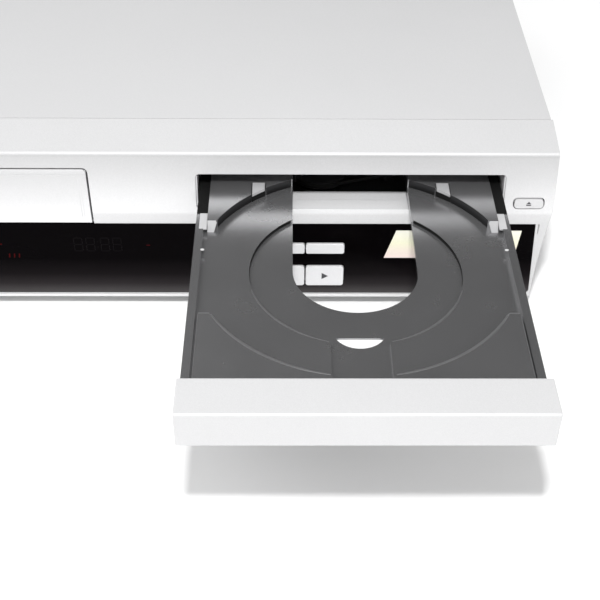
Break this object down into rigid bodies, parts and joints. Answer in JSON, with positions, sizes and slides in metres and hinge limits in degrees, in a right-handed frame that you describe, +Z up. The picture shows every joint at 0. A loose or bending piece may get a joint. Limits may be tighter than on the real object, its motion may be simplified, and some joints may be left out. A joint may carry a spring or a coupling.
{
  "type": "disc and video cassette player",
  "caption": "Silver tabletop disc player and cassette recorder with an open disc tray, cassette door, gloss window and keys.",
  "frame": {"origin": "on the floor under the middle of the whole outline, tray open", "axes": "+X to the right along the front panel, +Y from the front to the back, +Z up"},
  "size_m": [0.43, 0.4, 0.08],
  "materials": {
    "silver_plastic": "satin silver paint",
    "cover_steel": "fine textured silver grey paint",
    "window_gloss": "gloss black",
    "key_silver": "satin silver",
    "tray_charcoal": "satin moulded",
    "lid_silver": "satin silver paint",
    "tab_grey": "satin moulded",
    "label_paper": "plain pale label",
    "black_plastic": "moulded black",
    "white_plastic": "moulded natural",
    "galvanised": "zinc coated sheet",
    "steel": "turned steel",
    "aluminium_part": "machined",
    "rubber_black": "moulded",
    "board": "printed board",
    "display_glass": "smoked display",
    "brass_part": "turned"
  },
  "bodies": {
    "root": {"base_pan": "galvanised", "carriage_rails": "galvanised", "clamp_bridge": "galvanised", "deck_plate": "galvanised", "display_tube": "display_glass", "drum_base": "aluminium_part", "feet": "rubber_black", "fixed_heads": "black_plastic", "front_board": "board", "front_panel": "silver_plastic", "front_window": "window_gloss", "loader_base": "black_plastic", "loader_frame": "black_plastic", "loading_belt": "rubber_black", "loading_motor": "black_plastic", "lower_trim": "silver_plastic", "main_board": "board", "mains_inlet": "black_plastic", "power_board": "board", "rear_jacks": "black_plastic", "rear_panel": "galvanised", "screws": "steel", "top_cover": "cover_steel", "tuner": "galvanised", "window_label": "label_paper"},
    "tray": {"disc_tray": "tray_charcoal", "disc_hold_tabs": "tab_grey", "tray_lid": "lid_silver"},
    "tray_gear_body": {"tray_gear": "black_plastic"},
    "belt_pulley_body": {"belt_pulley": "black_plastic"},
    "motor_pulley_body": {"motor_pulley": "black_plastic"},
    "clamper": {"disc_clamper": "black_plastic"},
    "traverse": {"traverse_deck": "galvanised", "spindle_motor": "steel", "guide_rods": "steel"},
    "turntable_body": {"turntable": "black_plastic"},
    "sled": {"pickup_sled": "aluminium_part"},
    "lead_screw_body": {"lead_screw": "steel"},
    "door": {"cassette_door": "silver_plastic", "door_hinge_pin": "steel"},
    "carriage_body": {"carriage": "galvanised"},
    "holder": {"cassette_holder": "galvanised"},
    "supply_reel_body": {"supply_reel": "white_plastic"},
    "take_up_reel_body": {"take_up_reel": "white_plastic"},
    "drum": {"head_drum": "aluminium_part"},
    "capstan_body": {"capstan": "steel"},
    "pinch_arm_body": {"pinch_arm": "black_plastic"},
    "pinch_roller_body": {"pinch_roller": "rubber_black"},
    "supply_guide_body": {"supply_guide": "brass_part"},
    "take_up_guide_body": {"take_up_guide": "brass_part"},
    "threading_gear_body": {"threading_gear": "white_plastic"},
    "play_key_body": {"play_key": "key_silver"},
    "pause_key_body": {"pause_key": "key_silver"},
    "stop_key_body": {"stop_key": "key_silver"},
    "forward_key_body": {"forward_key": "key_silver"},
    "record_key_body": {"record_key": "key_silver"},
    "rewind_key_body": {"rewind_key": "key_silver"},
    "power_button_body": {"power_button": "key_silver"},
    "open_close_button_body": {"open_close_button": "key_silver"},
    "cassette_eject_button_body": {"cassette_eject_button": "key_silver"}
  },
  "joints": [
    {"name": "tray_slide", "type": "slide", "parent": "root", "child": "tray", "axis": [0, 1, 0], "range_m": [0, 0.1352]},
    {"name": "tray_gear_spin", "type": "hinge", "parent": "root", "child": "tray_gear_body", "pos_m": [0.0977, -0.0301, 0.05], "axis": [0, 0, 1], "range_deg": [-520, 5]},
    {"name": "belt_pulley_spin", "type": "hinge", "parent": "root", "child": "belt_pulley_body", "pos_m": [0.1177, -0.0301, 0.047], "axis": [0, 0, 1], "range_deg": [-5, 1555]},
    {"name": "motor_pulley_spin", "type": "hinge", "parent": "root", "child": "motor_pulley_body", "pos_m": [0.1477, -0.0301, 0.046], "axis": [0, 0, 1], "range_deg": [-10, 6250]},
    {"name": "clamper_spin", "type": "hinge", "parent": "root", "child": "clamper", "pos_m": [0.1297, 0.0199, 0.065], "axis": [0, 0, 1], "continuous": true},
    {"name": "traverse_lift", "type": "slide", "parent": "root", "child": "traverse", "axis": [0, 0, 1], "range_m": [0, 0.0095]},
    {"name": "turntable_spin", "type": "hinge", "parent": "traverse", "child": "turntable_body", "pos_m": [0.1297, 0.0199, 0.05], "axis": [0, 0, 1], "continuous": true},
    {"name": "sled_slide", "type": "slide", "parent": "traverse", "child": "sled", "axis": [0, 1, 0], "range_m": [0, 0.034]},
    {"name": "lead_screw_spin", "type": "hinge", "parent": "traverse", "child": "lead_screw_body", "pos_m": [0.1497, 0.0379, 0.0406], "axis": [0, 1, 0], "range_deg": [-10, 6200]},
    {"name": "cassette_door_hinge", "type": "hinge", "parent": "root", "child": "door", "pos_m": [-0.0791, -0.0612, 0.0664], "axis": [1, 0, 0], "range_deg": [0, 78], "stiffness_Nm_per_rad": 0.02, "springref_deg": -17.19},
    {"name": "carriage_slide", "type": "slide", "parent": "root", "child": "carriage_body", "axis": [0, 1, 0], "range_m": [0, 0.044]},
    {"name": "holder_lift", "type": "slide", "parent": "carriage_body", "child": "holder", "axis": [0, 0, 1], "range_m": [-0.02, 0]},
    {"name": "supply_reel_spin", "type": "hinge", "parent": "root", "child": "supply_reel_body", "pos_m": [-0.1251, 0.0189, 0.025], "axis": [0, 0, 1], "continuous": true},
    {"name": "take_up_reel_spin", "type": "hinge", "parent": "root", "child": "take_up_reel_body", "pos_m": [-0.0331, 0.0189, 0.025], "axis": [0, 0, 1], "continuous": true},
    {"name": "drum_spin", "type": "hinge", "parent": "root", "child": "drum", "pos_m": [-0.0791, 0.1089, 0.0206], "axis": [0, 0.1045, 0.9945], "continuous": true},
    {"name": "capstan_spin", "type": "hinge", "parent": "root", "child": "capstan_body", "pos_m": [-0.0131, 0.0749, 0.015], "axis": [0, 0, 1], "continuous": true},
    {"name": "pinch_arm_swing", "type": "hinge", "parent": "root", "child": "pinch_arm_body", "pos_m": [0.0009, 0.0549, 0.025], "axis": [0, 0, 1], "range_deg": [0, 16]},
    {"name": "pinch_roller_spin", "type": "hinge", "parent": "pinch_arm_body", "child": "pinch_roller_body", "pos_m": [0.0009, 0.0769, 0.035], "axis": [0, 0, 1], "continuous": true},
    {"name": "supply_guide_slide", "type": "slide", "parent": "root", "child": "supply_guide_body", "axis": [-0.2425, 0.9701, 0], "range_m": [0, 0.0412]},
    {"name": "take_up_guide_slide", "type": "slide", "parent": "root", "child": "take_up_guide_body", "axis": [0.2425, 0.9701, 0], "range_m": [0, 0.0412]},
    {"name": "threading_gear_spin", "type": "hinge", "parent": "root", "child": "threading_gear_body", "pos_m": [-0.0791, 0.0709, 0.012], "axis": [0, 0, 1], "range_deg": [-5, 175]},
    {"name": "play_key_press", "type": "slide", "parent": "root", "child": "play_key_body", "axis": [0, 1, 0], "range_m": [0, 0.0008], "stiffness_N_per_m": 600, "springref_m": -0.0004},
    {"name": "pause_key_press", "type": "slide", "parent": "root", "child": "pause_key_body", "axis": [0, 1, 0], "range_m": [0, 0.0008], "stiffness_N_per_m": 600, "springref_m": -0.0004},
    {"name": "stop_key_press", "type": "slide", "parent": "root", "child": "stop_key_body", "axis": [0, 1, 0], "range_m": [0, 0.0008], "stiffness_N_per_m": 600, "springref_m": -0.0004},
    {"name": "forward_key_press", "type": "slide", "parent": "root", "child": "forward_key_body", "axis": [0, 1, 0], "range_m": [0, 0.0008], "stiffness_N_per_m": 600, "springref_m": -0.0004},
    {"name": "record_key_press", "type": "slide", "parent": "root", "child": "record_key_body", "axis": [0, 1, 0], "range_m": [0, 0.0008], "stiffness_N_per_m": 600, "springref_m": -0.0004},
    {"name": "rewind_key_press", "type": "slide", "parent": "root", "child": "rewind_key_body", "axis": [0, 1, 0], "range_m": [0, 0.0008], "stiffness_N_per_m": 600, "springref_m": -0.0004},
    {"name": "power_button_press", "type": "slide", "parent": "root", "child": "power_button_body", "axis": [0, 1, 0], "range_m": [0, 0.0008], "stiffness_N_per_m": 600, "springref_m": -0.0004},
    {"name": "open_close_button_press", "type": "slide", "parent": "root", "child": "open_close_button_body", "axis": [0, 1, 0], "range_m": [0, 0.0008], "stiffness_N_per_m": 600, "springref_m": -0.0004},
    {"name": "cassette_eject_button_press", "type": "slide", "parent": "root", "child": "cassette_eject_button_body", "axis": [0, 1, 0], "range_m": [0, 0.0008], "stiffness_N_per_m": 600, "springref_m": -0.0004}
  ],
  "couplings": [
    {"joint": "tray_gear_spin", "follows": "tray_slide", "rad_per_m": -66.667},
    {"joint": "belt_pulley_spin", "follows": "tray_slide", "rad_per_m": 200},
    {"joint": "motor_pulley_spin", "follows": "tray_slide", "rad_per_m": 800},
    {"joint": "lead_screw_spin", "follows": "sled_slide", "rad_per_m": 3141.6},
    {"joint": "take_up_guide_slide", "follows": "supply_guide_slide", "ratio": 1},
    {"joint": "threading_gear_spin", "follows": "supply_guide_slide", "rad_per_m": 71.429}
  ]
}
